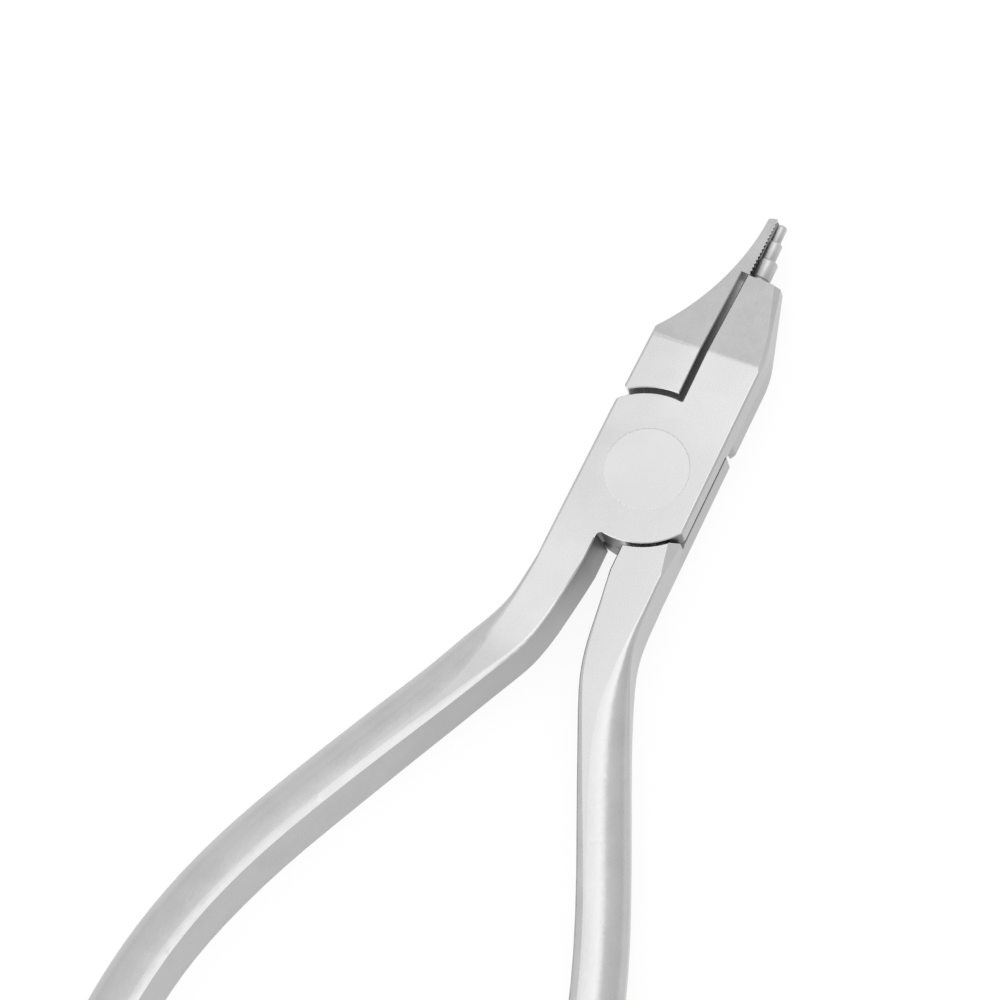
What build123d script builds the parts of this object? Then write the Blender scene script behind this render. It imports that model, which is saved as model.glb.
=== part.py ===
from build123d import *
import math
import os

os.makedirs("parts", exist_ok=True)

# ---------------------------------------------------------------- driving dimensions (mm)
T = 5.8                    # thickness over the lap joint and the handles
LAP_TOP = T / 2 + 0.01     # underside of the front lap plate
LAP_BOT = T / 2 - 0.01     # top of the rear lap plate (0.02 running gap)
XL = -6.16                 # left flank of the front plate, at its top corner
XL_ROOT = -6.42            # and at the handle root: the flank leans out slightly
XL_JAW = -5.80             # left flank of the pad jaw at Y_FLANK, set back from the plate
Y_FLANK = 13.9
B_LEAN = 0.0247            # and its sideways lean
XR = 6.19                  # right flank of the joint
ARC_OFF = 0.40             # sideways place of the rear plate's arcs, from the pivot axis
XC_UP = -0.60              # and of the front plate's upper arc
XC_LOW = -0.10             # and lower arc
XC_JAW_A = 0.23            # and of the clearance arc under the mandrel jaw
R_PLATE = 7.95             # lap plate arcs
R_LOW = 7.90               # lower arc of the front plate
R_REAR_UP = 7.60           # upper arc of the rear plate
R_JAW = 8.54               # clearance arc under the pad jaw
R_JAW_A = 8.00             # clearance arc under the mandrel jaw
R_HAND_A = 8.12            # clearance arc over the mandrel half's handle
R_HAND_B = 8.24            # clearance arc over the pad half's handle
Y_ROOT = -11.0             # where the joint block ends and the handle begins
X_ROOT_A = -1.80           # inner edge of the mandrel half's handle there
X_ROOT_B = 1.05            # inner edge of the pad half's handle there

X_SEAM_A = 0.26            # inner face of the mandrel jaw
X_SEAM_B = -0.42           # inner face of the pad jaw
Y_CREASE = 13.75           # end of the flat joint face, start of the taper
CREASE_DEG = 3.2           # the crease runs slightly out of square
Y_SHOULDER = 23.2          # end of the mandrel jaw
Y_FLARE = 15.0             # where its outer flank starts to narrow
Y_TIP = 29.95              # end of the pad jaw
Z_TIP = 3.50               # top face height there: one even taper from the crease

CREASE_R = 3.0             # soft rounding of the crease
EDGE = 0.28                # rounding of the outer flanks
BREAK = 0.10               # small edge breaks
LOW_BREAK = 0.09           # and along the lower arc of the front plate
CROTCH_R = 0.50            # rounded corner between the plate's lower arc and its handle
UNDERCUT_H = 0.65          # the front plate's lower edge is cut back along the lap line: height
UNDERCUT_D = 0.30          # and depth
LIP = 0.08                 # small break of the rear plate's edge under it
FACET_AT = (5.3, -6.4, T)  # facet on the end of the pad half's handle: a point, its run and its outward direction
FACET_ALONG = (0.2156, -0.9765, 0)
FACET_OUT = (0.833, 0.184, 0.522)

# pivot
HEAD_D = 8.70
HEAD_H = 1.40
RIM_R = 4.325              # edge break of the head: radius, slope and centre
RIM_SLOPE = 0.47
RIM_OFF = (-0.0113, -0.0275)
JOURNAL_D = 5.60
JOURNAL_GAP = 0.03         # radial running clearance in the rear plate
SCREW_HEAD_D = 6.90
SCREW_HEAD_H = 1.18
SCREW_D = 3.00

# stepped beak: diameter, start and end of each step along Y, its edge on the pad side
STEPS = [(2.02, 23.2, 25.85, 0.30), (1.48, 25.85, 27.92, 0.385), (1.08, 27.92, 29.82, 0.46)]
X_SHANK = STEPS[0][3] + STEPS[0][0] / 2
STEP_ROUND = 0.28          # rounded front edge of each step
ROOT_LINE = (23.62, 0.11, 0.07)   # fine turned line near its root: place, half width, depth
SHANK_D = 1.40
SHANK_L = 4.5

# serrated pad
Y_PAD = Y_SHOULDER + 0.12    # lower end, clear of the other jaw's shoulder
X_PAD_BACK = -0.10
X_PAD_FRONT = 0.47
TOOTH_PITCH = 0.45
TOOTH_DEPTH = 0.15
PAD_GROOVE_R = 1.15
PAD_GROOVE_DEPTH = 0.26
TIP_BACK = Y_TIP - 0.06      # the tip's end face runs out towards the pad
TIP_MID = Y_TIP + 0.10
TIP_FRONT = Y_TIP + 0.20
TIP_ROUND = 0.25

# handle stations: inner edge point (x, y), direction from inner to outer edge in degrees, width,
# rounding of the outer side across and down, lean of the inner wall, rounding of the inner edge across and down
INNER_BREAK = 0.12
LEAN_A = 0.33
HANDLE_A = [
    (X_ROOT_A, Y_ROOT, 180.0, X_ROOT_A - XL_ROOT, EDGE, EDGE, LEAN_A, INNER_BREAK, INNER_BREAK),
    (-2.04, -13.5, 177.4, 4.50, 0.34, 0.32, 0.27, 0.20, 0.11),
    (-2.36, -16.2, 173.4, 4.48, 0.42, 0.36, 0.22, 0.25, 0.11),
    (-2.82, -19.0, 166.8, 4.62, 0.70, 0.52, 0.20, 0.32, 0.11),
    (-3.64, -21.8, 158.8, 4.96, 1.44, 0.90, 0.22, 0.42, 0.11),
    (-5.02, -24.6, 153.8, 5.14, 2.50, 1.50, 0.27, 0.55, 0.11),
    (-6.96, -28.4, 152.3, 5.18, 3.50, 2.05, 0.34, 0.70, 0.10),
    (-9.75, -33.7, 152.2, 5.22, 3.92, 2.32, 0.46, 0.84, 0.10),
    (-13.30, -40.5, 152.6, 5.22, 4.04, 2.45, 0.66, 0.92, 0.10),
    (-16.90, -47.8, 155.0, 5.22, 4.04, 2.45, 0.72, 0.95, 0.10),
    (-20.25, -56.0, 160.6, 5.22, 4.04, 2.45, 0.72, 0.95, 0.10),
    (-22.40, -64.2, 168.4, 5.22, 4.04, 2.45, 0.58, 0.95, 0.10),
    (-23.35, -72.6, 176.6, 5.22, 4.04, 2.45, 0.58, 0.95, 0.10),
    (-23.25, -81.2, 183.6, 5.18, 4.02, 2.45, 0.56, 0.95, 0.10),
    (-22.45, -89.6, 187.0, 5.10, 3.92, 2.45, 0.54, 0.95, 0.10),
    (-21.45, -97.2, 187.6, 4.95, 3.70, 2.45, 0.50, 0.92, 0.10),
]
HANDLE_B = [
    (X_ROOT_B, Y_ROOT, 0.0, XR - X_ROOT_B, EDGE, EDGE, 0, INNER_BREAK, INNER_BREAK),
    (1.40, -13.5, 3.0, 4.86, 0.34, 0.32, 0.15, 0.20, 0.18),
    (1.76, -16.2, 6.5, 4.64, 0.54, 0.42, 0.20, 0.25, 0.20),
    (2.16, -19.0, 12.0, 4.70, 0.98, 0.65, 0.20, 0.30, 0.22),
    (2.82, -21.8, 18.5, 4.92, 1.74, 1.05, 0.22, 0.35, 0.25),
    (3.88, -24.6, 22.8, 5.02, 2.70, 1.60, 0.27, 0.42, 0.28),
    (5.58, -28.4, 24.4, 5.01, 3.50, 2.05, 0.34, 0.50, 0.30),
    (8.00, -33.7, 24.8, 5.06, 3.92, 2.32, 0.46, 0.60, 0.34),
    (11.14, -40.5, 24.4, 5.10, 4.04, 2.45, 0.56, 0.75, 0.38),
    (14.36, -48.0, 21.8, 5.15, 4.04, 2.45, 0.58, 0.85, 0.40),
    (17.16, -56.2, 16.0, 5.15, 4.04, 2.45, 0.58, 0.85, 0.40),
    (18.86, -64.5, 8.0, 5.15, 4.04, 2.45, 0.58, 0.85, 0.40),
    (19.46, -72.8, 0.4, 5.15, 4.04, 2.45, 0.58, 0.85, 0.40),
    (19.06, -81.4, -5.4, 5.18, 4.02, 2.45, 0.56, 0.85, 0.40),
    (18.06, -89.8, -7.8, 5.10, 3.92, 2.45, 0.54, 0.85, 0.40),
    (16.96, -97.4, -8.4, 4.95, 3.70, 2.45, 0.50, 0.80, 0.40),
]
# every rounding starts softly out of the flat face: inner points of its curve, as shares of its size
SOFT_1, SOFT_2, SOFT_3 = 0.62, 0.525, 0.41
# the inner edge of the mandrel half's handle is a shallow crown that ends in a crisp edge
CROWN_1, CROWN_2, CROWN_3, CROWN_4 = 0.72, 0.48, 0.24, 0.35
END_ROUND = 1.3

# bevel on the mandrel jaw: station y, upper edge (x, z) and lower edge (x, z)
BEVEL = [
    (13.6, 5.95, 5.86, 6.23, 5.50),
    (17.8, 5.00, 5.20, 5.48, 4.70),
    (23.6, 2.98, 4.35, 3.78, 3.70),
]


def on_circle(xc, r, x, sign):
    """Point at x on a circle of radius r about (xc, 0), above or below the axis."""
    return (x, sign * math.sqrt(r * r - (x - xc) ** 2))


def on_flank(xc, r, sign):
    """Where the pad half's leaning left flank meets a circle of radius r about (xc, 0)."""
    x = XL_JAW
    for _ in range(40):
        x = XL_JAW - B_LEAN * (Y_FLANK - on_circle(xc, r, x, sign)[1])
    return on_circle(xc, r, x, sign)


# ---------------------------------------------------------------- helper planes
ca, sa = math.cos(math.radians(CREASE_DEG)), math.sin(math.radians(CREASE_DEG))
CREASE_PLANE = Plane(origin=(0, 0, 0), x_dir=(-sa, ca, 0), z_dir=(ca, sa, 0))
# cross-section plane at the handle root: local x is X, local y is Z, normal towards the handle end
ROOT_PLANE = Plane(origin=(0, Y_ROOT, 0), x_dir=(1, 0, 0), z_dir=(0, -1, 0))
# sideways lean of the mandrel half's left flank
A_LEAN = (XL - XL_ROOT) / (on_circle(XC_UP, R_PLATE, XL, 1)[1] - Y_ROOT)
CORNER_ANGLE = {(1, 1): 0, (-1, 1): 90, (-1, -1): 180, (1, -1): 270}
# side view of what the taper removes above the jaws: soft crease, then one long slope
SLOPE = math.atan2(T - Z_TIP, Y_TIP - Y_CREASE)
CREASE_L = CREASE_R * math.tan(SLOPE / 2)
ARC_0 = (Y_CREASE - CREASE_L, T)
ARC_1 = (Y_CREASE - CREASE_L + CREASE_R * math.sin(SLOPE / 2), T - CREASE_R * (1 - math.cos(SLOPE / 2)))
ARC_2 = (Y_CREASE + CREASE_L * math.cos(SLOPE), T - CREASE_L * math.sin(SLOPE))
TAPER = [
    ARC_2, (Y_TIP + 3, Z_TIP - 3 * math.tan(SLOPE)),
    (Y_TIP + 3, T + 2), (Y_CREASE - CREASE_L, T + 2), ARC_0,
]

# ---------------------------------------------------------------- mandrel half
with BuildPart() as mandrel_half:
    # upper layer: handle root, front lap plate and jaw in one outline
    a_arc_l = on_circle(XC_UP, R_PLATE, XL, 1)
    a_arc_m = on_circle(XC_UP, R_PLATE, -2.5, 1)
    a_arc_s = on_circle(XC_UP, R_PLATE, X_SEAM_A, 1)
    a_low_r = on_circle(XC_LOW, R_LOW, XR, -1)
    a_low_m = on_circle(XC_LOW, R_LOW, 2.5, -1)
    a_low_l = on_circle(XC_LOW, R_LOW, X_ROOT_A, -1)
    with BuildSketch(Plane.XY.offset(LAP_TOP)) as upper:
        with BuildLine():
            Line((XL_ROOT, Y_ROOT), a_arc_l)
            ThreePointArc(a_arc_l, a_arc_m, a_arc_s)
            Polyline(a_arc_s, (X_SEAM_A, Y_SHOULDER), (3.88, Y_SHOULDER), (XR, Y_FLARE), a_low_r)
            ThreePointArc(a_low_r, a_low_m, a_low_l)
            Polyline(a_low_l, (X_ROOT_A, Y_ROOT), (XL_ROOT, Y_ROOT))
        make_face()
        fillet(upper.vertices().sort_by_distance(Vector(XR, Y_FLARE))[0], radius=8.0)
        fillet(upper.vertices().sort_by_distance(Vector(*a_arc_l))[0], radius=1.2)
        fillet(upper.vertices().sort_by_distance(Vector(*a_low_r))[0], radius=0.5)
        fillet(upper.vertices().sort_by_distance(Vector(*a_low_l))[0], radius=CROTCH_R)
    extrude(amount=T - LAP_TOP)
    # lower layer: only outside the sweep of the rear plate
    a_jaw_r = on_circle(XC_JAW_A, R_JAW_A, 5.75, 1)
    a_jaw_m = on_circle(XC_JAW_A, R_JAW_A, 3.2, 1)
    a_jaw_l = on_circle(XC_JAW_A, R_JAW_A, X_SEAM_A, 1)
    with BuildSketch(Plane.XY) as lower_jaw:
        with BuildLine():
            Polyline(a_jaw_l, (X_SEAM_A, Y_SHOULDER), (3.88, Y_SHOULDER), (XR, Y_FLARE), (XR, 6.42), a_jaw_r)
            ThreePointArc(a_jaw_r, a_jaw_m, a_jaw_l)
        make_face()
        fillet(lower_jaw.vertices().sort_by_distance(Vector(XR, Y_FLARE))[0], radius=8.0)
        fillet(lower_jaw.vertices().sort_by_distance(Vector(XR, 6.42))[0], radius=0.7)
        fillet(lower_jaw.vertices().sort_by_distance(Vector(*a_jaw_r))[0], radius=0.12)
    extrude(amount=LAP_TOP)
    with BuildSketch(Plane.XY):
        with BuildLine():
            Polyline((XL_ROOT, Y_ROOT), (XL_ROOT + 7.0 * A_LEAN, Y_ROOT + 7.0), (X_ROOT_A, Y_ROOT + 7.0),
                     (X_ROOT_A, Y_ROOT), close=True)
        make_face()
        with Locations((ARC_OFF, 0)):
            Circle(R_HAND_A, mode=Mode.SUBTRACT)
    extrude(amount=LAP_TOP)
    # soft outer flanks, small break on the inner edges of the handle root
    for x0, sx, lean in ((XL_ROOT, -1, A_LEAN), (XR, 1, 0)):
        for z0, sz in ((0, -1), (T, 1)):
            with BuildSketch(ROOT_PLANE):
                with BuildLine():
                    CenterArc((x0 - sx * EDGE, z0 - sz * EDGE), EDGE, CORNER_ANGLE[(sx, sz)], 90)
                    Polyline((x0 - sx * EDGE, z0), (x0 - sx * EDGE, z0 + sz), (x0 + sx, z0 + sz),
                             (x0 + sx, z0 - sz * EDGE), (x0, z0 - sz * EDGE))
                make_face()
            extrude(amount=29, dir=(lean, 1, 0), mode=Mode.SUBTRACT)
    with BuildSketch(ROOT_PLANE):
        with BuildLine():
            Polyline((X_ROOT_A - INNER_BREAK - 0.3, T + 0.3), (X_ROOT_A + 0.3, T + 0.3),
                     (X_ROOT_A + 0.3, T - INNER_BREAK - 0.3), close=True)
        make_face()
    extrude(amount=2.4, dir=(0, 1, 0), mode=Mode.SUBTRACT)
    # the leaning inner wall runs up to the front plate above the lap, to the rear plate's sweep below it
    x_lap = X_ROOT_A + LEAN_A * (T - INNER_BREAK - LAP_TOP) / (T - 2 * INNER_BREAK)
    with BuildSketch(ROOT_PLANE):
        with BuildLine():
            Polyline((X_ROOT_A - 0.3, T - INNER_BREAK), (X_ROOT_A, T - INNER_BREAK), (x_lap, LAP_TOP),
                     (X_ROOT_A - 0.3, LAP_TOP), close=True)
        make_face()
    extrude(amount=3.4, dir=(0, 1, 0))
    with BuildSketch(ROOT_PLANE):
        with BuildLine():
            Polyline((X_ROOT_A - 0.3, LAP_TOP), (x_lap, LAP_TOP), (X_ROOT_A + LEAN_A, INNER_BREAK),
                     (X_ROOT_A + LEAN_A - INNER_BREAK, 0), (X_ROOT_A - 0.3, 0), close=True)
        make_face()
    extrude(amount=3.12, dir=(0, 1, 0))
    # handle
    for x, y, ang, w, ra, rb, lean, ia, ib in HANDLE_A:
        d = Vector(math.cos(math.radians(ang)), math.sin(math.radians(ang)), 0)
        with BuildSketch(Plane(origin=(x, y, 0), x_dir=d, z_dir=d.cross(Vector(0, 0, 1)))):
            with BuildLine():
                Line((ia - lean, 0), (w - ra, 0))
                if y == Y_ROOT:
                    CenterArc((w - ra, rb), ra, 270, 90)
                    Line((w, rb), (w, T - rb))
                    CenterArc((w - ra, T - rb), ra, 0, 90)
                    Line((w - ra, T), (ia, T))
                    Line((ia, T), (0, T - ib))
                    Line((0, T - ib), (-lean, ib))
                    Line((-lean, ib), (ia - lean, 0))
                else:
                    Bezier((w - ra, 0), (w - SOFT_1 * ra, 0), (w - SOFT_2 * ra, 0), (w, SOFT_3 * rb), (w, rb))
                    Line((w, rb), (w, T - rb))
                    Bezier((w, T - rb), (w, T - SOFT_3 * rb), (w - SOFT_2 * ra, T), (w - SOFT_1 * ra, T), (w - ra, T))
                    Line((w - ra, T), (ia, T))
                    Bezier((ia, T), (CROWN_1 * ia, T), (CROWN_2 * ia, T), (CROWN_3 * ia, T - CROWN_4 * ib), (0, T - ib))
                    Line((0, T - ib), (-lean, ib))
                    Bezier((-lean, ib), (CROWN_3 * ia - lean, CROWN_4 * ib), (CROWN_2 * ia - lean, 0),
                           (CROWN_1 * ia - lean, 0), (ia - lean, 0))
            make_face()
    loft()
    # rounded handle end
    x, y, ang, w, ra, rb, lean, ia, ib = HANDLE_A[-1]
    d = Vector(math.cos(math.radians(ang)), math.sin(math.radians(ang)), 0)
    out = d.cross(Vector(0, 0, 1)) * (-1)
    for deg in (0, 18, 36, 54, 70, 84):
        q = END_ROUND * (1 - math.cos(math.radians(deg)))
        o = Vector(x, y, 0) + out * (END_ROUND * math.sin(math.radians(deg)))
        e, f, g = ra - 1.7 * q, rb - q, ia - 0.25 * q
        v = w - q
        h = T - q
        with BuildSketch(Plane(origin=o, x_dir=d, z_dir=d.cross(Vector(0, 0, 1)))):
            with BuildLine():
                Line((q + g - lean, q), (v - e, q))
                Bezier((v - e, q), (v - SOFT_1 * e, q), (v - SOFT_2 * e, q), (v, q + SOFT_3 * f), (v, q + f))
                Line((v, q + f), (v, h - f))
                Bezier((v, h - f), (v, h - SOFT_3 * f), (v - SOFT_2 * e, h), (v - SOFT_1 * e, h), (v - e, h))
                Line((v - e, h), (q + g, h))
                Bezier((q + g, h), (q + CROWN_1 * g, h), (q + CROWN_2 * g, h), (q + CROWN_3 * g, h - CROWN_4 * ib), (q, h - ib))
                Line((q, h - ib), (q - lean, q + ib))
                Bezier((q - lean, q + ib), (q + CROWN_3 * g - lean, q + CROWN_4 * ib), (q + CROWN_2 * g - lean, q),
                       (q + CROWN_1 * g - lean, q), (q + g - lean, q))
            make_face()
    loft()
    # tapered faces of the jaw, above and below
    with BuildSketch(CREASE_PLANE):
        for side in (1, -1):
            with BuildLine():
                ThreePointArc(*[(u, T / 2 + side * (v - T / 2)) for u, v in (ARC_0, ARC_1, ARC_2)])
                Polyline(*[(u, T / 2 + side * (v - T / 2)) for u, v in TAPER])
            make_face()
    extrude(amount=9, both=True, mode=Mode.SUBTRACT)
    # bevel between the tapered faces and the outer flank of the jaw, wider towards the shoulder
    for side in (1, -1):
        for y, xa, za, xb, zb in BEVEL:
            m = T / 2
            with BuildSketch(Plane(origin=(0, y, 0), x_dir=(1, 0, 0), z_dir=(0, -1, 0))):
                with BuildLine():
                    Polyline((xa, m + side * (za - m)), (xa + 2.0, m + side * (za + 1.2 - m)),
                             (xb + 2.0, m + side * (zb - m)), (xb, m + side * (zb - m)), close=True)
                make_face()
        loft(ruled=True, mode=Mode.SUBTRACT)
    # socket of the stepped beak
    with BuildSketch(Plane(origin=(0, Y_SHOULDER, 0), x_dir=(1, 0, 0), z_dir=(0, 1, 0))):
        with Locations((X_SHANK, -T / 2)):
            Circle(SHANK_D / 2 + 0.01)
    extrude(amount=-(SHANK_L + 0.1), mode=Mode.SUBTRACT)
    # pivot seat
    with BuildSketch(Plane.XY.offset(T)):
        Circle(HEAD_D / 2 + 0.01)
    extrude(amount=-HEAD_H, mode=Mode.SUBTRACT)
    with BuildSketch(Plane.XY.offset(T)):
        Circle(JOURNAL_D / 2 + 0.01)
    extrude(amount=-T, mode=Mode.SUBTRACT)
    # small edge breaks: both plate arcs, seam edge, lap line on the right flank
    for xc, r, x_start, sign, turn, b in ((XC_UP, R_PLATE, X_SEAM_A, 1, 66, BREAK),
                                          (XC_LOW, R_LOW, -1.2, -1, 78, LOW_BREAK)):
        a0 = sign * math.acos((x_start - xc) / r)
        with BuildSketch(Plane(origin=(xc, 0, 0), x_dir=(math.cos(a0), math.sin(a0), 0),
                               z_dir=(math.sin(a0), -math.cos(a0), 0))):
            with BuildLine():
                Polyline((r - b - 0.2, T + 0.2), (r + 0.2, T - b - 0.2), (r + 0.2, T + 0.2), close=True)
            make_face()
        revolve(axis=Axis((xc, 0, 0), (0, 0, 1)), revolution_arc=turn, mode=Mode.SUBTRACT)
    for y0, z0, length, slope in ((a_arc_s[1], T, Y_CREASE + 0.1 - a_arc_s[1], 0),
                                  (Y_CREASE - 0.1, T + 0.1 * math.tan(SLOPE), 10.2, SLOPE)):
        run = Vector(0, math.cos(slope), -math.sin(slope))
        with BuildSketch(Plane(origin=(X_SEAM_A, y0, z0), x_dir=(1, 0, 0), z_dir=run)):
            with BuildLine():
                Polyline((BREAK + 0.2, -0.2), (-0.2, 0.2 + BREAK), (-0.2, -0.2), close=True)
            make_face()
        extrude(amount=length, mode=Mode.SUBTRACT)
    with BuildSketch(Plane(origin=(XR, -6.5, LAP_TOP), x_dir=(1, 0, 0), z_dir=(0, 1, 0))):
        with BuildLine():
            Polyline((-UNDERCUT_D, 0), (0, -UNDERCUT_H), (0.2, -UNDERCUT_H), (0.2, 0.06), (-UNDERCUT_D, 0.06), close=True)
        make_face()
    extrude(amount=11.3, mode=Mode.SUBTRACT)
    print("mandrel_half solids", len(mandrel_half.solids()), "valid", mandrel_half.part.is_valid)

# ---------------------------------------------------------------- pad half
with BuildPart() as pad_half:
    # lower layer: handle root, rear lap plate and jaw in one outline
    b_up_r = on_circle(ARC_OFF, R_REAR_UP, XR, 1)
    b_up_m = on_circle(ARC_OFF, R_REAR_UP, 2.5, 1)
    b_up_s = on_circle(ARC_OFF, R_REAR_UP, X_SEAM_B, 1)
    b_low_l = on_flank(ARC_OFF, R_PLATE, -1)
    b_low_m = on_circle(ARC_OFF, R_PLATE, -2.5, -1)
    b_low_r = on_circle(ARC_OFF, R_PLATE, X_ROOT_B, -1)
    with BuildSketch(Plane.XY) as lower:
        with BuildLine():
            Polyline((XR, Y_ROOT), b_up_r)
            ThreePointArc(b_up_r, b_up_m, b_up_s)
            Polyline(b_up_s, (X_SEAM_B, Y_PAD), (X_PAD_BACK, Y_PAD), (X_PAD_BACK, TIP_MID),
                     (-0.53, TIP_BACK), (-0.58, 28.3))
            ThreePointArc((-0.58, 28.3), (-2.19, 20.8), (-5.78, 14.25))
            Polyline((-5.78, 14.25), (XL_JAW, Y_FLANK), b_low_l)
            ThreePointArc(b_low_l, b_low_m, b_low_r)
            Polyline(b_low_r, (X_ROOT_B, Y_ROOT), (XR, Y_ROOT))
        make_face()
        fillet(lower.vertices().sort_by_distance(Vector(*b_up_r))[0], radius=0.25)
        fillet(lower.vertices().sort_by_distance(Vector(-0.53, TIP_BACK))[0], radius=TIP_ROUND)
        fillet(lower.vertices().sort_by_distance(Vector(*b_low_l))[0], radius=0.8)
    extrude(amount=LAP_BOT)
    # upper layer: only outside the sweep of the front plate
    b_jaw_l = on_flank(XC_UP, R_JAW, 1)
    b_jaw_m = on_circle(XC_UP, R_JAW, -3.2, 1)
    b_jaw_s = on_circle(XC_UP, R_JAW, X_SEAM_B, 1)
    with BuildSketch(Plane.XY.offset(LAP_BOT)) as upper_jaw:
        with BuildLine():
            ThreePointArc(b_jaw_l, b_jaw_m, b_jaw_s)
            Polyline(b_jaw_s, (X_SEAM_B, Y_PAD), (X_PAD_BACK, Y_PAD), (X_PAD_BACK, TIP_MID),
                     (-0.53, TIP_BACK), (-0.58, 28.3))
            ThreePointArc((-0.58, 28.3), (-2.19, 20.8), (-5.78, 14.25))
            Polyline((-5.78, 14.25), (XL_JAW, Y_FLANK), b_jaw_l)
        make_face()
        fillet(upper_jaw.vertices().sort_by_distance(Vector(*b_jaw_l))[0], radius=0.45)
        fillet(upper_jaw.vertices().sort_by_distance(Vector(-0.53, TIP_BACK))[0], radius=TIP_ROUND)
    extrude(amount=T - LAP_BOT)
    with BuildSketch(Plane.XY.offset(LAP_BOT)) as root_b:
        with BuildLine():
            Polyline((XR, Y_ROOT), (XR, -4.0), (X_ROOT_B, -4.0), (X_ROOT_B, Y_ROOT), close=True)
        make_face()
        with Locations((XC_LOW, 0)):
            Circle(R_HAND_B, mode=Mode.SUBTRACT)
        fillet(root_b.vertices().group_by(Axis.X)[-1].sort_by(Axis.Y)[-1], radius=0.12)
    extrude(amount=T - LAP_BOT)
    # soft outer flanks, small break on the inner edges of the handle root
    for x0, sx, lean in ((XL_JAW - B_LEAN * (Y_FLANK - Y_ROOT), -1, B_LEAN), (XR, 1, 0)):
        for z0, sz in ((0, -1), (T, 1)):
            with BuildSketch(ROOT_PLANE):
                with BuildLine():
                    CenterArc((x0 - sx * EDGE, z0 - sz * EDGE), EDGE, CORNER_ANGLE[(sx, sz)], 90)
                    Polyline((x0 - sx * EDGE, z0), (x0 - sx * EDGE, z0 + sz), (x0 + sx, z0 + sz),
                             (x0 + sx, z0 - sz * EDGE), (x0, z0 - sz * EDGE))
                make_face()
            extrude(amount=29, dir=(lean, 1, 0), mode=Mode.SUBTRACT)
    # the outer corner of the handle's end is cut off by a small facet beside the lap
    with BuildSketch(Plane(origin=FACET_AT, x_dir=FACET_ALONG, z_dir=FACET_OUT)):
        with Locations((1.7, 0)):
            Rectangle(6.6, 5.0)
    extrude(amount=2.0, mode=Mode.SUBTRACT)
    for z0, sz in ((0, -1), (T, 1)):
        with BuildSketch(ROOT_PLANE):
            with BuildLine():
                Polyline((X_ROOT_B + INNER_BREAK + 0.3, z0 + sz * 0.3), (X_ROOT_B - 0.3, z0 + sz * 0.3),
                         (X_ROOT_B - 0.3, z0 - sz * (INNER_BREAK + 0.3)), close=True)
            make_face()
        extrude(amount=2.9, dir=(0, 1, 0), mode=Mode.SUBTRACT)
    # handle
    for x, y, ang, w, ra, rb, lean, ia, ib in HANDLE_B:
        d = Vector(math.cos(math.radians(ang)), math.sin(math.radians(ang)), 0)
        with BuildSketch(Plane(origin=(x, y, 0), x_dir=d, z_dir=d.cross(Vector(0, 0, 1)))):
            with BuildLine():
                Line((ia - lean, 0), (w - ra, 0))
                if y == Y_ROOT:
                    CenterArc((w - ra, rb), ra, 270, 90)
                    Line((w, rb), (w, T - rb))
                    CenterArc((w - ra, T - rb), ra, 0, 90)
                    Line((w - ra, T), (ia, T))
                    Line((ia, T), (0, T - ib))
                    Line((0, T - ib), (-lean, ib))
                    Line((-lean, ib), (ia - lean, 0))
                else:
                    Bezier((w - ra, 0), (w - SOFT_1 * ra, 0), (w - SOFT_2 * ra, 0), (w, SOFT_3 * rb), (w, rb))
                    Line((w, rb), (w, T - rb))
                    Bezier((w, T - rb), (w, T - SOFT_3 * rb), (w - SOFT_2 * ra, T), (w - SOFT_1 * ra, T), (w - ra, T))
                    Line((w - ra, T), (ia, T))
                    Bezier((ia, T), (SOFT_1 * ia, T), (SOFT_2 * ia, T), (0, T - SOFT_3 * ib), (0, T - ib))
                    Line((0, T - ib), (-lean, ib))
                    Bezier((-lean, ib), (-lean, SOFT_3 * ib), (SOFT_2 * ia - lean, 0), (SOFT_1 * ia - lean, 0),
                           (ia - lean, 0))
            make_face()
    loft()
    # rounded handle end
    x, y, ang, w, ra, rb, lean, ia, ib = HANDLE_B[-1]
    d = Vector(math.cos(math.radians(ang)), math.sin(math.radians(ang)), 0)
    out = d.cross(Vector(0, 0, 1)) * (1)
    for deg in (0, 18, 36, 54, 70, 84):
        q = END_ROUND * (1 - math.cos(math.radians(deg)))
        o = Vector(x, y, 0) + out * (END_ROUND * math.sin(math.radians(deg)))
        e, f, g = ra - 1.7 * q, rb - q, ia - 0.25 * q
        v = w - q
        h = T - q
        with BuildSketch(Plane(origin=o, x_dir=d, z_dir=d.cross(Vector(0, 0, 1)))):
            with BuildLine():
                Line((q + g - lean, q), (v - e, q))
                Bezier((v - e, q), (v - SOFT_1 * e, q), (v - SOFT_2 * e, q), (v, q + SOFT_3 * f), (v, q + f))
                Line((v, q + f), (v, h - f))
                Bezier((v, h - f), (v, h - SOFT_3 * f), (v - SOFT_2 * e, h), (v - SOFT_1 * e, h), (v - e, h))
                Line((v - e, h), (q + g, h))
                Bezier((q + g, h), (q + SOFT_1 * g, h), (q + SOFT_2 * g, h), (q, h - SOFT_3 * ib), (q, h - ib))
                Line((q, h - ib), (q - lean, q + ib))
                Bezier((q - lean, q + ib), (q - lean, q + SOFT_3 * ib), (q + SOFT_2 * g - lean, q),
                       (q + SOFT_1 * g - lean, q), (q + g - lean, q))
            make_face()
    loft()
    # tapered faces of the jaw, above and below
    with BuildSketch(CREASE_PLANE):
        for side in (1, -1):
            with BuildLine():
                ThreePointArc(*[(u, T / 2 + side * (v - T / 2)) for u, v in (ARC_0, ARC_1, ARC_2)])
                Polyline(*[(u, T / 2 + side * (v - T / 2)) for u, v in TAPER])
            make_face()
    extrude(amount=9, both=True, mode=Mode.SUBTRACT)
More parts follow.
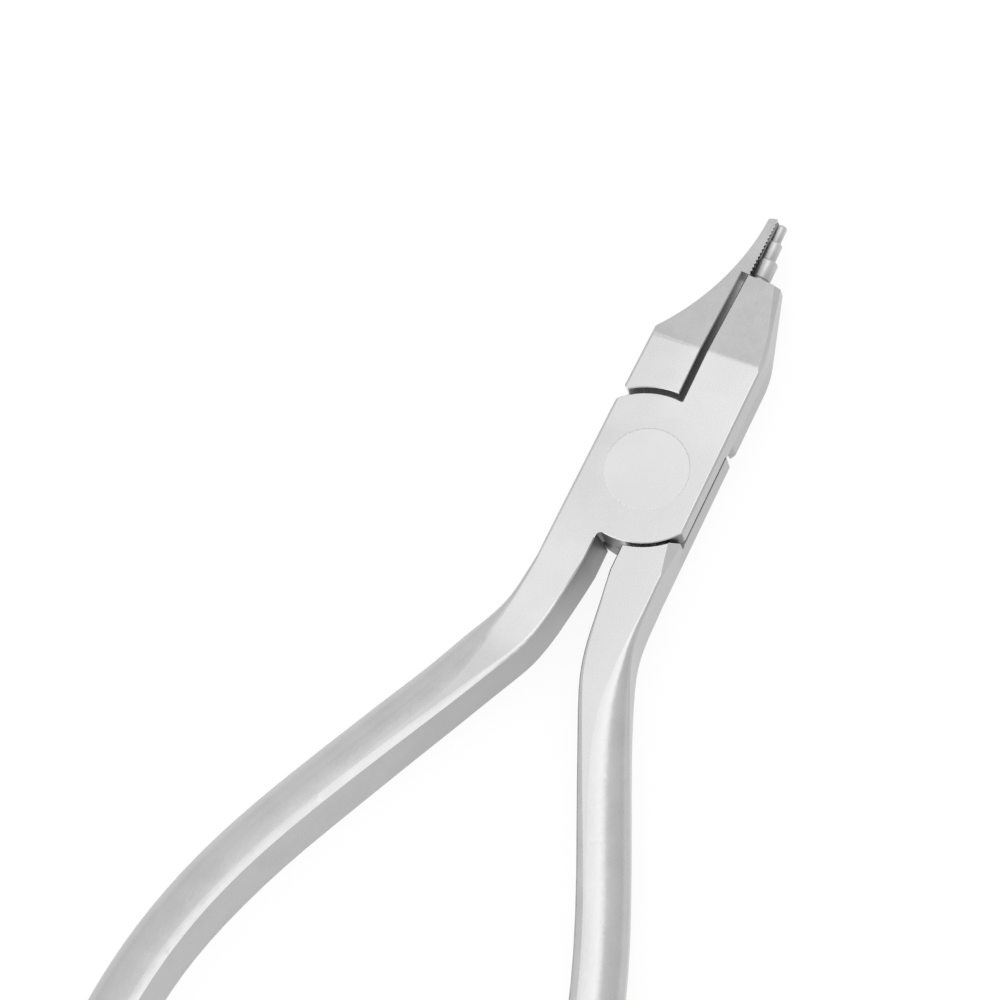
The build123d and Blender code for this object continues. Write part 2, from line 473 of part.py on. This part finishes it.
    # bearing bore and the seat of the pivot screw
    with BuildSketch(Plane.XY):
        Circle(JOURNAL_D / 2 + JOURNAL_GAP)
    extrude(amount=T, mode=Mode.SUBTRACT)
    with BuildSketch(Plane.XY):
        Circle(SCREW_HEAD_D / 2 + 0.05)
    extrude(amount=SCREW_HEAD_H + 0.02, mode=Mode.SUBTRACT)
    # small edge breaks: the arc under the jaw, the arc over the handle, the seam edge, the lap line
    with BuildSketch(Plane(origin=(XR, -5.1, LAP_BOT), x_dir=(1, 0, 0), z_dir=(0, 1, 0))):
        with BuildLine():
            Polyline((-LIP, 0), (0, LIP), (0.2, LIP), (0.2, -0.06), (-LIP, -0.06), close=True)
        make_face()
    extrude(amount=12.0, mode=Mode.SUBTRACT)
    for xc, r, up in ((XC_UP, R_JAW, 1), (XC_LOW, R_HAND_B, -1)):
        with BuildSketch(Plane(origin=(xc, 0, 0), x_dir=(1, 0, 0), z_dir=(0, -1, 0))):
            with BuildLine():
                Polyline((r - 0.2, T - BREAK - 0.2), (r + BREAK + 0.2, T + 0.2), (r - 0.2, T + 0.2), close=True)
            make_face()
        revolve(axis=Axis((xc, 0, 0), (0, 0, up)), revolution_arc=180, mode=Mode.SUBTRACT)
    for y0, z0, length, slope in ((8.0, T, Y_CREASE - 7.9, 0), (Y_CREASE - 0.1, T + 0.1 * math.tan(SLOPE), (Y_PAD - Y_CREASE + 0.1) / math.cos(SLOPE), SLOPE)):
        run = Vector(0, math.cos(slope), -math.sin(slope))
        with BuildSketch(Plane(origin=(X_SEAM_B, y0, z0), x_dir=(1, 0, 0), z_dir=run)):
            with BuildLine():
                Polyline((-BREAK - 0.2, -0.2), (0.2, 0.2 + BREAK), (0.2, -0.2), close=True)
            make_face()
        extrude(amount=length, mode=Mode.SUBTRACT)
    print("pad_half solids", len(pad_half.solids()), "valid", pad_half.part.is_valid)

# ---------------------------------------------------------------- stepped mandrel
with BuildPart() as stepped_mandrel:
    for i, (dia, y0, y1, x_edge) in enumerate(STEPS):
        xc, r = x_edge + dia / 2, dia / 2
        yb = y0 if i == 0 else y0 - 0.8
        with BuildSketch(Plane.XY.offset(T / 2)):
            with BuildLine():
                Polyline((xc + r - STEP_ROUND, y1), (xc, y1), (xc, yb), (xc + r, yb), (xc + r, y1 - STEP_ROUND))
                RadiusArc((xc + r, y1 - STEP_ROUND), (xc + r - STEP_ROUND, y1), -STEP_ROUND)
            make_face()
        revolve(axis=Axis((xc, 0, T / 2), (0, 1, 0)))
    with BuildSketch(Plane.XY.offset(T / 2)):
        r, (y, half, depth) = STEPS[0][0] / 2, ROOT_LINE
        with BuildLine():
            Polyline((X_SHANK + r + depth, y - 2 * half), (X_SHANK + r - depth, y), (X_SHANK + r + depth, y + 2 * half), close=True)
        make_face()
    revolve(axis=Axis((X_SHANK, 0, T / 2), (0, 1, 0)), mode=Mode.SUBTRACT)
    with BuildSketch(Plane(origin=(0, Y_SHOULDER, 0), x_dir=(1, 0, 0), z_dir=(0, 1, 0))):
        with Locations((X_SHANK, -T / 2)):
            Circle(SHANK_D / 2)
    extrude(amount=-SHANK_L)
    print("stepped_mandrel valid", stepped_mandrel.part.is_valid)

# ---------------------------------------------------------------- serrated pad
with BuildPart() as serrated_pad:
    teeth = int((Y_TIP - Y_PAD - 0.1) / TOOTH_PITCH)
    edge = [(X_PAD_BACK, Y_PAD), (X_PAD_FRONT, Y_PAD)]
    for i in range(teeth):
        y = Y_PAD + 0.12 + i * TOOTH_PITCH
        edge += [(X_PAD_FRONT, y), (X_PAD_FRONT - TOOTH_DEPTH, y + 0.45 * TOOTH_PITCH),
                 (X_PAD_FRONT, y + 0.9 * TOOTH_PITCH)]
    edge += [(X_PAD_FRONT, TIP_FRONT - 0.09), (X_PAD_FRONT - 0.09, TIP_FRONT), (X_PAD_BACK, TIP_MID)]
    with BuildSketch(Plane.XY):
        with BuildLine():
            Polyline(*edge, close=True)
        make_face()
    extrude(amount=T)
    with BuildSketch(CREASE_PLANE):
        for side in (1, -1):
            with BuildLine():
                ThreePointArc(*[(u, T / 2 + side * (v - T / 2)) for u, v in (ARC_0, ARC_1, ARC_2)])
                Polyline(*[(u, T / 2 + side * (v - T / 2)) for u, v in TAPER])
            make_face()
    extrude(amount=9, both=True, mode=Mode.SUBTRACT)
    # shallow lengthwise hollow facing the round beak
    with BuildSketch(Plane(origin=(0, Y_SHOULDER - 1, 0), x_dir=(1, 0, 0), z_dir=(0, 1, 0))):
        with Locations((X_PAD_FRONT - PAD_GROOVE_DEPTH + PAD_GROOVE_R, -T / 2)):
            Circle(PAD_GROOVE_R)
    extrude(amount=Y_TIP - Y_SHOULDER + 2, mode=Mode.SUBTRACT)
    print("serrated_pad solids", len(serrated_pad.solids()), "valid", serrated_pad.part.is_valid)

# ---------------------------------------------------------------- pivot barrel
with BuildPart() as pivot_barrel:
    with BuildSketch(Plane.XY.offset(T)):
        Circle(HEAD_D / 2)
    extrude(amount=-HEAD_H)
    with BuildSketch(Plane.XY.offset(T - HEAD_H)):
        Circle(JOURNAL_D / 2)
    extrude(amount=-(T - HEAD_H - SCREW_HEAD_H))
    with BuildSketch(Plane.XY.offset(SCREW_HEAD_H)):
        Circle(SCREW_D / 2)
    extrude(amount=3.6, mode=Mode.SUBTRACT)
    # edge break of the head, worn slightly off centre
    with BuildSketch(Plane(origin=(RIM_OFF[0], RIM_OFF[1], 0), x_dir=(1, 0, 0), z_dir=(0, -1, 0))):
        with BuildLine():
            Polyline((RIM_R - 0.2, T + 0.2 * RIM_SLOPE), (RIM_R + 0.6, T - 0.6 * RIM_SLOPE), (RIM_R + 0.6, T + 0.4),
                     (RIM_R - 0.2, T + 0.4), close=True)
        make_face()
    revolve(axis=Axis((RIM_OFF[0], RIM_OFF[1], 0), (0, 0, 1)), mode=Mode.SUBTRACT)

# ---------------------------------------------------------------- pivot screw
with BuildPart() as pivot_screw:
    with BuildSketch(Plane.XY):
        Circle(SCREW_HEAD_D / 2)
    extrude(amount=SCREW_HEAD_H)
    with BuildSketch(Plane.XY.offset(SCREW_HEAD_H)):
        Circle(SCREW_D / 2 - 0.01)
    extrude(amount=3.4)
    with BuildSketch(Plane.XY):
        with Locations((1.95, 0), (-1.95, 0)):
            Circle(0.6)
    extrude(amount=0.8, mode=Mode.SUBTRACT)
    chamfer(pivot_screw.edges().filter_by(GeomType.CIRCLE).sort_by(SortBy.RADIUS)[-2:].sort_by(Axis.Z)[0], length=0.08)

# ---------------------------------------------------------------- files
mandrel_half.part.label = "mandrel_half"
export_step(mandrel_half.part, "parts/mandrel_half.step")
pad_half.part.label = "pad_half"
export_step(pad_half.part, "parts/pad_half.step")
stepped_mandrel.part.label = "stepped_mandrel"
export_step(stepped_mandrel.part, "parts/stepped_mandrel.step")
serrated_pad.part.label = "serrated_pad"
export_step(serrated_pad.part, "parts/serrated_pad.step")
pivot_barrel.part.label = "pivot_barrel"
export_step(pivot_barrel.part, "parts/pivot_barrel.step")
pivot_screw.part.label = "pivot_screw"
export_step(pivot_screw.part, "parts/pivot_screw.step")
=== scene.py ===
import bpy
from mathutils import Matrix, Vector

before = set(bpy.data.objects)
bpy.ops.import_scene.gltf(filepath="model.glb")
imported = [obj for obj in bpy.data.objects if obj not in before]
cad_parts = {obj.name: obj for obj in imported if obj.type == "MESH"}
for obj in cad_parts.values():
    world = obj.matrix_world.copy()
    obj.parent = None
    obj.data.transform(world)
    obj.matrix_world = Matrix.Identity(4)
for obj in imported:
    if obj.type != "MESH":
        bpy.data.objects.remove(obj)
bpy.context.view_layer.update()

scene = bpy.context.scene
scene.view_settings.view_transform = "Standard"
scene.view_settings.look = "None"
MM = 0.001


# ---------------------------------------------------------------- node helpers
def node(tree, kind, **settings):
    """A new node with its properties set by name."""
    n = tree.nodes.new(kind)
    for key, value in settings.items():
        setattr(n, key, value)
    return n


def noise(tree, coords, scale, detail=2.0, rough=0.5):
    n = node(tree, "ShaderNodeTexNoise", noise_dimensions="3D")
    n.inputs["Scale"].default_value = scale
    n.inputs["Detail"].default_value = detail
    n.inputs["Roughness"].default_value = rough
    tree.links.new(coords, n.inputs["Vector"])
    return n.outputs["Fac"]


def span(tree, value, low, high, from_low=0.3, from_high=0.7, kind="SMOOTHSTEP"):
    """value remapped from (from_low, from_high) to (low, high), held at both ends."""
    n = node(tree, "ShaderNodeMapRange", interpolation_type=kind, clamp=True)
    n.inputs["From Min"].default_value = from_low
    n.inputs["From Max"].default_value = from_high
    n.inputs["To Min"].default_value = low
    n.inputs["To Max"].default_value = high
    tree.links.new(value, n.inputs["Value"])
    return n.outputs["Result"]


def calc(tree, operation, a, b=0.0):
    n = node(tree, "ShaderNodeMath", operation=operation)
    for i, v in enumerate((a, b)):
        if isinstance(v, (int, float)):
            n.inputs[i].default_value = v
        else:
            tree.links.new(v, n.inputs[i])
    return n.outputs[0]


def blend(tree, factor, a, b):
    """Number a where factor is 0, b where it is 1."""
    n = node(tree, "ShaderNodeMix", data_type="FLOAT")
    for i, v in ((0, factor), (2, a), (3, b)):
        if isinstance(v, (int, float)):
            n.inputs[i].default_value = v
        else:
            tree.links.new(v, n.inputs[i])
    return n.outputs[0]


# ---------------------------------------------------------------- steel
def steel(name, dark, light, rough_low, rough_high, grain=1.0, wave=1.0, painted_light_and_tone=None):
    """Stainless steel: satin polish with faint clouds, fine lengthwise polishing lines, and worn edges that also paint
    edge highlights.

    dark and light bound the cloudy grey of the metal, rough_low and rough_high its roughness. grain scales the fine
    relief, wave the slow unevenness of the hand-finished faces. painted_light_and_tone(tree, position, normal) gives
    the share of the metal's brightness left: painted shade and painted highlights, and a darker working face on the
    pad.
    """
    m = bpy.data.materials.new(name)
    m.use_nodes = True
    t = m.node_tree
    t.nodes.clear()
    out = node(t, "ShaderNodeOutputMaterial")
    bsdf = node(t, "ShaderNodeBsdfPrincipled")
    bsdf.inputs["Metallic"].default_value = 1.0
    t.links.new(bsdf.outputs["BSDF"], out.inputs["Surface"])
    place = node(t, "ShaderNodeTexCoord")
    coords = place.outputs["Object"]

    cloud = noise(t, coords, 240.0, 3.0, 0.55)      # patches of about 4 mm
    speck = noise(t, coords, 3800.0, 2.0, 0.6)      # grain of about 0.25 mm
    swell = noise(t, coords, 70.0, 1.0, 0.4)        # unevenness of about 14 mm
    # polishing lines: noise drawn out along the tool
    drawn = node(t, "ShaderNodeMapping", vector_type="POINT")
    drawn.inputs["Scale"].default_value = (1.0, 0.045, 1.0)
    t.links.new(coords, drawn.inputs["Vector"])
    lines = noise(t, drawn.outputs["Vector"], 9000.0, 2.0, 0.6)

    # edge wear and painted edge highlights: where the rounded normal leaves the surface normal, broken up by the grain
    rounded = node(t, "ShaderNodeBevel", samples=8)
    rounded.inputs["Radius"].default_value = 0.14 * MM
    true_normal = node(t, "ShaderNodeNewGeometry").outputs["Normal"]
    dot = node(t, "ShaderNodeVectorMath", operation="DOT_PRODUCT")
    t.links.new(rounded.outputs["Normal"], dot.inputs[0])
    t.links.new(true_normal, dot.inputs[1])
    worn_edge_and_glint = calc(t, "MULTIPLY", span(t, dot.outputs["Value"], 1.0, 0.0, 0.88, 0.995),
                span(t, speck, 0.45, 1.0, 0.3, 0.6))

    # grey of the metal: clouds, faint lines, lighter worn edges that double as painted edge highlights; painted shade
    # and highlights come below
    grey = span(t, calc(t, "ADD", calc(t, "MULTIPLY", cloud, 0.75), calc(t, "MULTIPLY", lines, 0.25)),
                dark, light, 0.36, 0.64)
    grey = blend(t, calc(t, "MULTIPLY", worn_edge_and_glint, 0.35), grey, min(1.0, light * 1.22))
    rough = calc(t, "ADD", span(t, cloud, rough_low, rough_high), span(t, lines, -0.02, 0.02))
    rough = calc(t, "SUBTRACT", rough, calc(t, "MULTIPLY", worn_edge_and_glint, 0.05))
    # painted shade and painted highlights (a darker working face on the pad) scale the grey; darker faces are also
    # rougher
    if painted_light_and_tone:
        left = painted_light_and_tone(t, coords, place.outputs["Normal"])
        grey = calc(t, "MULTIPLY", grey, left)
        rough = calc(t, "ADD", rough, span(t, left, 0.16, 0.0, 0.3, 1.0))
    tint = node(t, "ShaderNodeCombineColor", mode="RGB")
    for i in range(3):
        t.links.new(grey, tint.inputs[i])
    t.links.new(tint.outputs[0], bsdf.inputs["Base Color"])
    t.links.new(rough, bsdf.inputs["Roughness"])

    # relief: slow swell, then grain and polishing lines
    slow = node(t, "ShaderNodeBump")
    slow.inputs["Strength"].default_value = 1.0
    slow.inputs["Distance"].default_value = 0.10 * MM * wave
    t.links.new(swell, slow.inputs["Height"])
    bump = node(t, "ShaderNodeBump")
    bump.inputs["Strength"].default_value = 0.5
    bump.inputs["Distance"].default_value = 0.0014 * MM * grain
    t.links.new(calc(t, "ADD", calc(t, "MULTIPLY", speck, 0.6), calc(t, "MULTIPLY", lines, 0.4)), bump.inputs["Height"])
    t.links.new(slow.outputs["Normal"], bump.inputs["Normal"])
    t.links.new(bump.outputs["Normal"], bsdf.inputs["Normal"])
    return m


def split(tree, vector):
    n = node(tree, "ShaderNodeSeparateXYZ")
    tree.links.new(vector, n.inputs[0])
    return n.outputs


def half_painted_light(t, position, normal):
    """Painted shade and highlights on a half: darker walls, seam between the jaws, throat between the handles, arc
    gaps, lap line and crotch corner, and lighter and darker stretches along the tops.
    """
    x, y, z = split(t, position)
    nx, ny, nz = split(t, normal)
    wall = span(t, calc(t, "ABSOLUTE", nz), 1.0, 0.0, 0.35, 0.75)
    steep = span(t, calc(t, "ABSOLUTE", nz), 1.0, 0.0, 0.55, 0.9)
    here = span(t, x, 1.0, 0.0, -2.5 * MM, -0.5 * MM)
    there = calc(t, "SUBTRACT", 1.0, here)
    # painted shade: walls darker than the tops, less so low down the handle on the +x side
    left = blend(t, wall, 1.0, blend(t, there, 0.865, span(t, y, 0.955, 0.865, -32 * MM, -20 * MM)))
    # painted shade on faces that look towards the middle: the seam between the jaws and the throat between the handles
    side = span(t, x, -1.0, 1.0, -0.2 * MM, 0.2 * MM, "LINEAR")
    inward = calc(t, "MULTIPLY", steep,
                  span(t, calc(t, "MULTIPLY", calc(t, "MULTIPLY", nx, -1.0), side), 0.0, 1.0, 0.35, 0.65))
    seam = span(t, y, 0.42, 0.62, 13 * MM, 24 * MM)
    throat = calc(t, "ADD", span(t, y, 0.70, 0.46, -17 * MM, -8.5 * MM, "LINEAR"),
                  span(t, y, 0.19, 0.0, -42 * MM, -17 * MM, "LINEAR"))
    left = blend(t, inward, left, blend(t, span(t, y, 0.0, 1.0, 0.0, 4 * MM), throat, seam))
    # painted shade on the walls of the arc gaps, with a painted highlight on the upper arc walls
    arc = calc(t, "MULTIPLY", wall, span(t, calc(t, "ABSOLUTE", ny), 0.0, 1.0, 0.32, 0.7))
    near = calc(t, "MULTIPLY", span(t, y, 0.0, 1.0, -9.2 * MM, -8.6 * MM), span(t, y, 1.0, 0.0, 9.2 * MM, 9.6 * MM))
    low = calc(t, "MULTIPLY", span(t, x, 0.42, 1.05, 0.3 * MM, 1.3 * MM), span(t, x, 1.0, 0.4, 4.3 * MM, 5.3 * MM))
    high = span(t, x, 1.5, 0.74, 1.0 * MM, 4.0 * MM)
    left = blend(t, calc(t, "MULTIPLY", arc, near), left, blend(t, span(t, y, 0.0, 1.0, -2 * MM, 2 * MM), low, high))
    # painted shade on the lap face where it shows along the flank
    lap = calc(t, "MULTIPLY", span(t, z, 0.0, 1.0, 2.80 * MM, 2.84 * MM), span(t, z, 1.0, 0.0, 2.94 * MM, 2.98 * MM))
    lap = calc(t, "MULTIPLY", calc(t, "MULTIPLY", lap, span(t, nz, 0.0, 1.0, 0.8, 0.95)),
               span(t, y, 0.0, 1.0, -5.2 * MM, -4.6 * MM))
    left = calc(t, "MULTIPLY", left, blend(t, lap, 1.0, 0.3))
    # painted shade on the rounded corner of the crotch, the rear plate's flank under the lap line and the tapered faces
    # of the jaws
    corner = calc(t, "MULTIPLY", span(t, x, 0.0, 1.0, -2.0 * MM, -1.75 * MM), span(t, x, 1.0, 0.0, -1.35 * MM, -1.05 * MM))
    corner = calc(t, "MULTIPLY", calc(t, "MULTIPLY", corner, wall),
                  calc(t, "MULTIPLY", span(t, y, 0.0, 1.0, -8.5 * MM, -8.2 * MM), span(t, y, 1.0, 0.0, -7.5 * MM, -7.2 * MM)))
    left = calc(t, "MULTIPLY", left, blend(t, corner, 1.0, 0.76))
    rear = calc(t, "MULTIPLY", calc(t, "MULTIPLY", wall, span(t, x, 0.0, 1.0, 5.7 * MM, 6.0 * MM)),
                calc(t, "MULTIPLY", span(t, y, 0.0, 1.0, -7.5 * MM, -5.5 * MM), span(t, z, 1.0, 0.0, 2.86 * MM, 2.92 * MM)))
    left = calc(t, "MULTIPLY", left, blend(t, rear, 1.0, 0.93))
    taper = calc(t, "MULTIPLY", span(t, ny, 0.0, 1.0, 0.06, 0.12), span(t, nz, 0.0, 1.0, 0.95, 0.98))
    left = calc(t, "MULTIPLY", left, blend(t, taper, 1.0, span(t, y, 0.94, 0.975, 16 * MM, 22 * MM)))
    # painted highlight and shade along the flat tops: brighter at one handle root and jaw, darker along the other
    # handle
    root = calc(t, "MULTIPLY", span(t, y, 0.0, 0.085, -24.5 * MM, -18 * MM), span(t, y, 1.0, 0.0, -13 * MM, -5 * MM))
    jaw = calc(t, "SUBTRACT", span(t, y, 0.0, 0.07, 2 * MM, 8.5 * MM), span(t, y, 0.035, 0.0, -45 * MM, -22 * MM))
    root = calc(t, "ADD", root, span(t, y, 0.0, 0.035, 1 * MM, 5 * MM))
    root = calc(t, "ADD", root, calc(t, "MULTIPLY", span(t, y, 0.0, -0.07, -36 * MM, -29 * MM),
                                     span(t, y, 1.0, 0.0, -24.5 * MM, -20.5 * MM)))
    top_light_and_shade = calc(t, "ADD", calc(t, "MULTIPLY", here, root), calc(t, "MULTIPLY", there, jaw))
    flat = span(t, nz, 0.0, 1.0, 0.985, 0.998)
    return calc(t, "MULTIPLY", left, calc(t, "ADD", 1.0, calc(t, "MULTIPLY", top_light_and_shade, flat)))


def pad_inside(t, position, normal):
    """The pad's toothed working face, facing +x, is darker."""
    nx = split(t, normal)[0]
    return span(t, nx, 1.0, 0.52, 0.15, 0.6)


def pivot_painted_highlight(t, position, normal):
    """Painted highlight: the pivot is slightly brighter towards the pad jaw."""
    x, y, z = split(t, position)
    return span(t, calc(t, "SUBTRACT", y, x), 0.985, 1.03, -4 * MM, 4 * MM)


def beak_painted_light(t, position, normal):
    """Painted light on each turned step: a painted highlight towards its front and the pad, painted shade at its root.
    """
    y = split(t, position)[1]
    nx = split(t, normal)[0]
    left = span(t, y, 0.80, 1.0, 23.6 * MM, 25.3 * MM)
    for root, front in ((25.85, 27.4), (27.92, 29.3)):
        left = blend(t, calc(t, "GREATER_THAN", y, root * MM), left, span(t, y, 0.78, 1.0, root * MM, front * MM))
    return calc(t, "MULTIPLY", left, span(t, nx, 1.45, 1.0, -0.9, -0.35))


finish = {
    "satin_steel": steel("satin_steel", 0.505, 0.54, 0.25, 0.30, grain=0.6, painted_light_and_tone=half_painted_light),
    "pivot_steel": steel("pivot_steel", 0.522, 0.556, 0.24, 0.29, grain=0.5, wave=0.6, painted_light_and_tone=pivot_painted_highlight),
    "beak_steel": steel("beak_steel", 0.525, 0.575, 0.36, 0.42, grain=0.8, wave=0.2, painted_light_and_tone=beak_painted_light),
    "pad_steel": steel("pad_steel", 0.49, 0.53, 0.24, 0.32, grain=1.2, wave=0.2, painted_light_and_tone=pad_inside),
}
surface = {
    "mandrel_half": "satin_steel",
    "pad_half": "satin_steel",
    "pivot_barrel": "pivot_steel",
    "pivot_screw": "pivot_steel",
    "stepped_mandrel": "beak_steel",
    "serrated_pad": "pad_steel",
}
for name, kind in surface.items():
    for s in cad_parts[name].material_slots:
        s.link = "OBJECT"
        s.material = finish[kind]

# ---------------------------------------------------------------- floor
bpy.ops.mesh.primitive_plane_add(size=3.0, location=(0.0, -0.03, -0.00005))
floor = bpy.context.object
floor.name = "floor"
m = bpy.data.materials.new("pale_floor")
m.use_nodes = True
p = m.node_tree.nodes["Principled BSDF"]
p.inputs["Roughness"].default_value = 0.9
p.inputs["Specular IOR Level"].default_value = 0.0
p.inputs["Base Color"].default_value = (0.16, 0.16, 0.16, 1.0)
p.inputs["Emission Color"].default_value = (1.0, 1.0, 1.0, 1.0)
p.inputs["Emission Strength"].default_value = 0.86
floor.data.materials.append(m)

# ---------------------------------------------------------------- light
world = bpy.data.worlds.new("studio")
scene.world = world
world.use_nodes = True
t = world.node_tree
back = t.nodes["Background"]
x, y, z = split(t, node(t, "ShaderNodeTexCoord").outputs["Generated"])
t.links.new(calc(t, "MULTIPLY", span(t, z, 0.90, 0.985, 0.0, 0.5), span(t, x, 1.0, 0.86, 0.3, 0.8)), back.inputs["Strength"])
back.inputs["Color"].default_value = (1.0, 1.0, 1.0, 1.0)


def softbox(name, direction, distance, shape, size, energy):
    direction = Vector(direction).normalized()
    lamp = bpy.data.objects.new(name, bpy.data.lights.new(name, "AREA"))
    scene.collection.objects.link(lamp)
    lamp.data.shape = shape
    lamp.data.size = size[0]
    if shape == "RECTANGLE":
        lamp.data.size_y = size[1]
    lamp.data.energy = energy
    lamp.location = direction * distance
    lamp.rotation_mode = "QUATERNION"
    lamp.rotation_quaternion = direction.to_track_quat("Z", "Y")
    lamp.visible_camera = False
    return lamp


softbox("key_softbox", (0.05, 0.20, 0.979), 0.6, "DISK", (0.41, 0.41), 0.37)
softbox("front_strip", (-0.27, -0.93, 0.25), 0.6, "RECTANGLE", (0.40, 0.12), 0.22)

# ---------------------------------------------------------------- camera at the photograph's viewing angle
camera = bpy.data.objects.new("camera", bpy.data.cameras.new("camera"))
scene.collection.objects.link(camera)
right = Vector((0.89308901, 0.42548152, -0.14614202))
up = Vector((-0.35969004, 0.87043519, 0.33610364))
back_axis = Vector((0.27021305, -0.24760464, 0.93041757))
stand = Vector((0.177136, -0.182276, 0.658198))
camera.matrix_world = Matrix((
    (right.x, up.x, back_axis.x, stand.x),
    (right.y, up.y, back_axis.y, stand.y),
    (right.z, up.z, back_axis.z, stand.z),
    (0.0, 0.0, 0.0, 1.0),
))
camera.data.sensor_fit = "HORIZONTAL"
camera.data.sensor_width = 36.0
camera.data.lens = 252.0
camera.data.clip_start = 0.01
camera.data.clip_end = 10.0
scene.camera = camera
